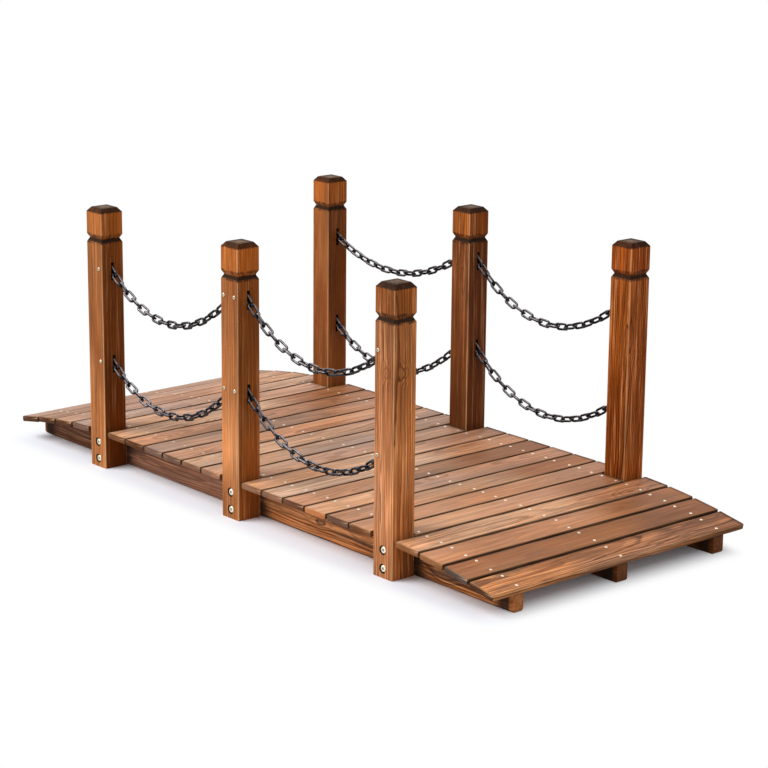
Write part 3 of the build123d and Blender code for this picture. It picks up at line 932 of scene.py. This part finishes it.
def with_middles(rings):
    """The points of some rings in one list, and after them the middle of the first and the last ring."""
    return np.concatenate([rings.reshape(-1, 3), rings[:1].mean(1), rings[-1:].mean(1)])


def mesh_object(name, points, quads, triangles, material):
    """A mesh object at the origin, smooth on its quads and flat on its triangles."""
    mesh = bpy.data.meshes.new(name)
    mesh.from_pydata(points.tolist(), [], quads.tolist() + triangles.tolist())
    mesh.polygons.foreach_set("use_smooth", np.arange(len(quads) + len(triangles)) < len(quads))
    mesh.materials.append(material)
    mesh.validate()
    mesh.update()
    piece = bpy.data.objects.new(name, mesh)
    bpy.context.scene.collection.objects.link(piece)
    return piece


def set_attribute(mesh, name, kind, values):
    """Stores one value for each point of a mesh."""
    field = {"FLOAT": "value", "FLOAT_VECTOR": "vector", "FLOAT_COLOR": "color"}[kind]
    layer = mesh.attributes.new(name, kind, "POINT")
    layer.data.foreach_set(field, np.ascontiguousarray(values, dtype=np.float32).ravel())


def board_tilt(low, high):
    """Tilt about the bridge's cross axis; boards left of the middle rise to the right.

    The box of a tilted plate is width * cos + thickness * sin wide and width * sin +
    thickness * cos high, so for a small tilt the extra height over the width is its sine.
    """
    extra = (high.z - low.z) - BOARD_THICKNESS
    sine = max(extra, 0.0) / BOARD_WIDTH
    return math.copysign(math.asin(sine), low.x + high.x)


def tilted(x, y, z, tilt):
    """Points turned about the bridge's cross axis; a positive tilt lowers their right side."""
    turn_x = x * math.cos(tilt) + z * math.sin(tilt)
    return np.stack([turn_x, y, z * math.cos(tilt) - x * math.sin(tilt)], axis=1)


# ---------------------------------------------------------------- operators


class FOOTBRIDGE_OT_deck(bpy.types.Operator):
    """Makes the deck boards again with worn edges and lays a stained, figured finish on them"""

    bl_idname = "footbridge.deck"
    bl_label = "Deck Boards"
    bl_options = {"REGISTER", "UNDO"}

    def execute(self, context):
        timber = context.scene.footbridge_timber
        material = deck_material(timber, "Deck Timber", GLOSS["deck"])
        matt = deck_material(timber, "Sawn Deck Timber", GLOSS["sawn"])
        for index, node in enumerate(BOARD_NODES):
            *tones, strength, soot, near_end, near_rubbed = BOARD_LOOKS[index]
            far_end = BOARD_LOOKS[-1 - index][-2]
            random = np.random.default_rng(BOARD_SEED + index)
            low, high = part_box(node)
            tilt = board_tilt(low, high)
            shortfall = random.uniform(0.0, 0.0012)
            length = high.y - low.y - shortfall
            edges = timber.edge_radius, timber.end_radius
            rings, worn, burnt = board_surface(length, *edges, near_rubbed, random)
            grain = with_middles(rings)
            along, across, through = grain.T
            points = np.array((low + high) / 2) + tilted(across, along, through, tilt)
            quads, fans = ring_faces(*rings.shape[:2])
            piece = mesh_object("worn" + node[len("deck"):], points, quads[:, ::-1], fans[:, ::-1], material)
            mesh = piece.data
            mesh.materials.append(matt)
            upward = np.empty(3 * len(mesh.polygons), np.float32)
            mesh.polygons.foreach_get("normal", upward)
            upward = upward[2::3] * math.cos(tilt)
            mesh.polygons.foreach_set("material_index", (upward < 0.9).astype(np.int32))

            near, middle, far, near_sawn, far_sawn = (
                np.array(getattr(timber, name)) for name in (*tones, near_end, far_end)
            )
            # The middle tone changes softly into the outer ones between these distances from the middle.
            middle_ends, outer_starts = 0.04, 0.18
            in_near_half = along[:, None] < 0.0
            share = np.clip((np.abs(along) - middle_ends) / (outer_starts - middle_ends), 0.0, 1.0)
            share = (share * share * (3.0 - 2.0 * share))[:, None]
            # The stain holds each board's own stain together with its painted sheen.
            stain = middle * (1.0 - share) + np.where(in_near_half, near, far) * share
            at_end = np.abs(along) > length / 2 - 0.7 * timber.end_radius
            stain = np.where(at_end[:, None], np.where(in_near_half, near_sawn, far_sawn), stain)
            # The outer sides of the first and the last board are open to view and burnt more thinly.
            open_burn = 0.42
            outward = {0: -1.0, len(BOARD_NODES) - 1: 1.0}.get(index, 0.0)
            open_side = outward * across > BOARD_WIDTH / 2 - 0.5 * timber.edge_radius
            burnt = np.where(open_side, open_burn, np.append(burnt, (0.0, 0.0)))
            ones = np.ones((len(points), 1))
            set_attribute(mesh, "grain", "FLOAT_VECTOR", grain)
            set_attribute(mesh, "piece", "FLOAT_VECTOR", random.uniform(0.0, 1.0, 3) * ones)
            set_attribute(mesh, "stain", "FLOAT_COLOR", np.append(stain, ones, axis=1))
            set_attribute(mesh, "figure", "FLOAT", np.where(at_end, 0.0, strength))
            set_attribute(mesh, "soot", "FLOAT", soot * ones)
            set_attribute(mesh, "worn", "FLOAT", np.append(worn, (0.0, 0.0)))
            set_attribute(mesh, "burnt", "FLOAT", burnt)
            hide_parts(node)
            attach(piece, "root")
        return {"FINISHED"}


class FOOTBRIDGE_OT_posts(bpy.types.Operator):
    """Gives each post its own upright grain, burnt groove and burnt cap"""

    bl_idname = "footbridge.posts"
    bl_label = "Posts"
    bl_options = {"REGISTER", "UNDO"}

    def execute(self, context):
        for node in POST_NODES:
            dress(node, post_material(context.scene.footbridge_timber, node))
        return {"FINISHED"}


class FOOTBRIDGE_OT_stringers(bpy.types.Operator):
    """Gives the three bearers their long grain and knots"""

    bl_idname = "footbridge.stringers"
    bl_label = "Stringers"
    bl_options = {"REGISTER", "UNDO"}

    def execute(self, context):
        for node in STRINGER_NODES:
            dress(node, stringer_material(context.scene.footbridge_timber, node))
        return {"FINISHED"}


class FOOTBRIDGE_OT_chains(bpy.types.Operator):
    """Gives the chains their dark coat, rubbed bright in places"""

    bl_idname = "footbridge.chains"
    bl_label = "Chains"
    bl_options = {"REGISTER", "UNDO"}

    def execute(self, context):
        material = chain_material(context.scene.footbridge_metal)
        for node in CHAIN_NODES:
            dress(node, material)
        return {"FINISHED"}


class FOOTBRIDGE_OT_fixings(bpy.types.Operator):
    """Gives the post bolts and chain screws their zinc"""

    bl_idname = "footbridge.fixings"
    bl_label = "Bolts and Chain Screws"
    bl_options = {"REGISTER", "UNDO"}

    def execute(self, context):
        metal = context.scene.footbridge_metal
        screws = zinc_material(metal, "Zinc Screw", patch=300.0, amount=0.75, smooth=0.30, rough=0.48)[0]
        for side in ("near", "far"):
            dress("post_bolts_" + side, bolt_material(metal, "post_bolts_" + side))
            dress("chain_screws_" + side, screws)
        return {"FINISHED"}


def screw_head_rings(metal):
    """One deck screw head as rings of twelve points, from under its rim to the floor of its cross.

    The outer rings are circles; the inner two follow a four-armed cross, which is far out on each
    quarter turn and close in between.
    """
    turn = np.arange(12) * math.pi / 6
    arms = np.where(np.arange(12) % 3 == 0, 0.56, 0.20)
    rings = (
        (1.0, -metal.head_sink),
        (1.0, 0.45 * metal.head_rise),
        (0.82, metal.head_rise),
        (arms, metal.head_rise),
        (0.92 * arms, metal.head_rise - metal.recess_depth),
    )
    circle = metal.head_radius * np.stack([np.cos(turn), np.sin(turn)])
    return np.stack([np.stack([*(share * circle), np.full(12, height)], axis=1) for share, height in rings])


class FOOTBRIDGE_OT_deck_screws(bpy.types.Operator):
    """Adds the small screws that hold each board to the three bearers, two to a crossing"""

    bl_idname = "footbridge.deck_screws"
    bl_label = "Deck Screws"
    bl_options = {"REGISTER", "UNDO"}

    def execute(self, context):
        metal = context.scene.footbridge_metal
        material, w, shader, coat = zinc_material(
            metal, "Zinc Deck Screw", patch=320.0, amount=0.25, smooth=0.32, rough=0.50
        )
        along = w.split(w.coordinates()[0])[0]
        tarnish = w.span(along, CAD_BOX[0].x / 2, CAD_BOX[1].x / 2, 0.75, 0.0)
        w.fit(shader, Base_Color=w.blend(tarnish, coat, rgba(metal.zinc_dull)))
        rings = screw_head_rings(metal)
        head = with_middles(rings)
        quads, fans = ring_faces(*rings.shape[:2])
        for row, bearer in enumerate(STRINGER_NODES):
            random = np.random.default_rng(SCREW_SEED + row)
            low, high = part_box(bearer)
            line = (low.y + high.y) / 2
            heads = []
            for node in BOARD_NODES:
                low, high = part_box(node)
                tilt = board_tilt(low, high)
                middle = ((low.x + high.x) / 2, line, (low.z + high.z) / 2)
                for side in (-1, 1):
                    spin = Matrix.Rotation(random.uniform(0.0, math.pi / 2), 3, "Z")
                    stray = random.uniform(-1.0, 1.0, 2) * metal.row_jitter
                    place = (side * metal.pair_offset + 0.5 * stray[0], stray[1], BOARD_THICKNESS / 2)
                    turned = head @ np.array(spin).T + place
                    heads.append(tilted(*turned.T, tilt) + middle)
            starts = len(head) * np.arange(len(heads))[:, None, None]
            piece = mesh_object(
                "deck_screws_" + bearer[len("stringer_"):], np.concatenate(heads),
                (quads + starts).reshape(-1, 4), (fans + starts).reshape(-1, 3), material
            )
            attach(piece, "root")
        return {"FINISHED"}


class FOOTBRIDGE_OT_stage(bpy.types.Operator):
    """Sets out the pale floor, the soft lamps, the world and the camera"""

    bl_idname = "footbridge.stage"
    bl_label = "Stage"
    bl_options = {"REGISTER", "UNDO"}

    def execute(self, context):
        stage = context.scene.footbridge_stage
        make_floor(stage)
        make_world(stage, context.scene)
        make_lamp("Key Lamp", (-2.4, -3.7, 4.3), 4.2, stage.key_power)
        make_lamp("Fill Lamp", (2.3, -0.4, 1.0), 1.2, stage.fill_power)
        make_camera(stage, context.scene)
        context.scene.view_settings.view_transform = "Standard"
        return {"FINISHED"}


WHITE = (1.0, 1.0, 1.0, 1.0)


def seen_directly(w):
    """1 for rays that come straight from the camera or through a mirror or glass, and 0 otherwise."""
    rays = w.add("ShaderNodeLightPath").outputs
    return w.most(rays["Is Camera Ray"], rays["Is Glossy Ray"], rays["Is Transmission Ray"])


def make_floor(stage):
    """A wide floor that keeps the bridge's soft shadow and turns plain white away from it.

    It clears a little inside the deck's ends and behind the bridge, and only outside it in front.
    """
    reach = 30.0
    points = reach * np.array([(-1, -1, 0), (1, -1, 0), (1, 1, 0), (-1, 1, 0)])
    material, w, shader = new_material("Studio Floor")
    surface = shader.outputs["BSDF"].links[0].to_socket
    floor = mesh_object("studio_floor", points, np.array([[0, 1, 2, 3]]), np.zeros((0, 3), int), material)
    w.fit(shader, Base_Color=rgba(stage.floor), Roughness=0.9, Specular_IOR_Level=0.1)
    x, y, _ = w.split(w.coordinates()[0])
    low, high = CAD_BOX
    inside_ends, inside_back, fade, fade_across = 0.048, 0.060, 0.100, 0.100 / 1.8
    out_x = w.most(w.minus(w.off(x), high.x - inside_ends), 0.0)
    out_y = w.most(w.minus(y, high.y - inside_back), w.minus(low.y, y), 0.0)
    plain = w.span(w.length(out_x, w.times(out_y, fade / fade_across), 0.0), 0.0, fade)
    white = w.fill("ShaderNodeEmission", WHITE, 1.0)[0]
    factor = w.times(plain, seen_directly(w))
    w.feed(surface, w.fill("ShaderNodeMixShader", factor, shader.outputs["BSDF"], white)[0])


def make_world(stage, scene):
    """A white studio: plain white where it is seen, and softer as light on the bridge."""
    world = bpy.data.worlds.new("Studio")
    scene.world = world
    world.use_nodes = True
    world.node_tree.nodes.clear()
    w = Wiring(world.node_tree)
    light = w.fill("ShaderNodeBackground", WHITE, stage.ambient)[0]
    white = w.fill("ShaderNodeBackground", WHITE, 1.0)[0]
    mix = w.fill("ShaderNodeMixShader", seen_directly(w), light, white)[0]
    w.fit(w.add("ShaderNodeOutputWorld"), Surface=mix)


def make_lamp(name, place, size, watts):
    """A square area lamp that faces the middle of the bridge."""
    lamp = bpy.data.lights.new(name, "AREA")
    lamp.shape = "SQUARE"
    lamp.size = size
    lamp.energy = watts
    holder = bpy.data.objects.new(name, lamp)
    holder.location = place
    aim = Vector((0.0, 0.0, 0.2)) - Vector(place)
    holder.rotation_euler = aim.to_track_quat("-Z", "Y").to_euler()
    bpy.context.scene.collection.objects.link(holder)


def make_camera(stage, scene):
    """A long lens at the aim point, turned by azimuth and elevation and then rolled a little."""
    a, e, r = stage.azimuth, stage.elevation, stage.roll
    forward = Vector((-math.sin(a) * math.cos(e), math.cos(a) * math.cos(e), -math.sin(e)))
    level = forward.cross(Vector((0.0, 0.0, 1.0))).normalized()
    up = level.cross(forward)
    right = math.cos(r) * level + math.sin(r) * up
    up = right.cross(forward)
    camera = bpy.data.cameras.new("Camera")
    camera.lens = stage.lens
    camera.sensor_width = 36.0
    camera.clip_end = 200.0
    holder = bpy.data.objects.new("Camera", camera)
    turn = Matrix((right, up, -forward)).transposed().to_4x4()
    holder.matrix_world = Matrix.Translation(Vector(stage.aim) - stage.reach * forward) @ turn
    scene.collection.objects.link(holder)
    scene.camera = holder


# ---------------------------------------------------------------- panel and registration


OPERATORS = (
    FOOTBRIDGE_OT_deck,
    FOOTBRIDGE_OT_posts,
    FOOTBRIDGE_OT_stringers,
    FOOTBRIDGE_OT_chains,
    FOOTBRIDGE_OT_fixings,
    FOOTBRIDGE_OT_deck_screws,
    FOOTBRIDGE_OT_stage,
)


class FOOTBRIDGE_PT_sidebar(bpy.types.Panel):
    """Lists the footbridge's finishes and its settings"""

    bl_label = "Garden Footbridge"
    bl_idname = "FOOTBRIDGE_PT_sidebar"
    bl_space_type = "VIEW_3D"
    bl_region_type = "UI"
    bl_category = "Footbridge"

    def draw(self, context):
        for operator in OPERATORS:
            self.layout.operator(operator.bl_idname)
        for name in ("footbridge_timber", "footbridge_metal", "footbridge_stage"):
            box = self.layout.box()
            settings = getattr(context.scene, name)
            for prop in settings.bl_rna.properties:
                if prop.identifier not in ("rna_type", "name"):
                    box.prop(settings, prop.identifier)


GROUPS = (
    ("footbridge_timber", FOOTBRIDGE_PG_timber),
    ("footbridge_metal", FOOTBRIDGE_PG_metal),
    ("footbridge_stage", FOOTBRIDGE_PG_stage),
)


def register():
    for name, group in GROUPS:
        bpy.utils.register_class(group)
        setattr(bpy.types.Scene, name, bpy.props.PointerProperty(type=group))
    for item in OPERATORS + (FOOTBRIDGE_PT_sidebar,):
        bpy.utils.register_class(item)


def unregister():
    for item in reversed(OPERATORS + (FOOTBRIDGE_PT_sidebar,)):
        bpy.utils.unregister_class(item)
    for name, group in reversed(GROUPS):
        delattr(bpy.types.Scene, name)
        bpy.utils.unregister_class(group)


def main():
    """Registers the add-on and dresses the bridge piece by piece."""
    register()
    build_figure_group()
    build_stain_group(bpy.context.scene.footbridge_timber)
    build_scuff_group()
    bpy.ops.footbridge.deck()
    bpy.ops.footbridge.posts()
    bpy.ops.footbridge.stringers()
    bpy.ops.footbridge.chains()
    bpy.ops.footbridge.fixings()
    bpy.ops.footbridge.deck_screws()
    bpy.ops.footbridge.stage()


if __name__ == "__main__":
    main()
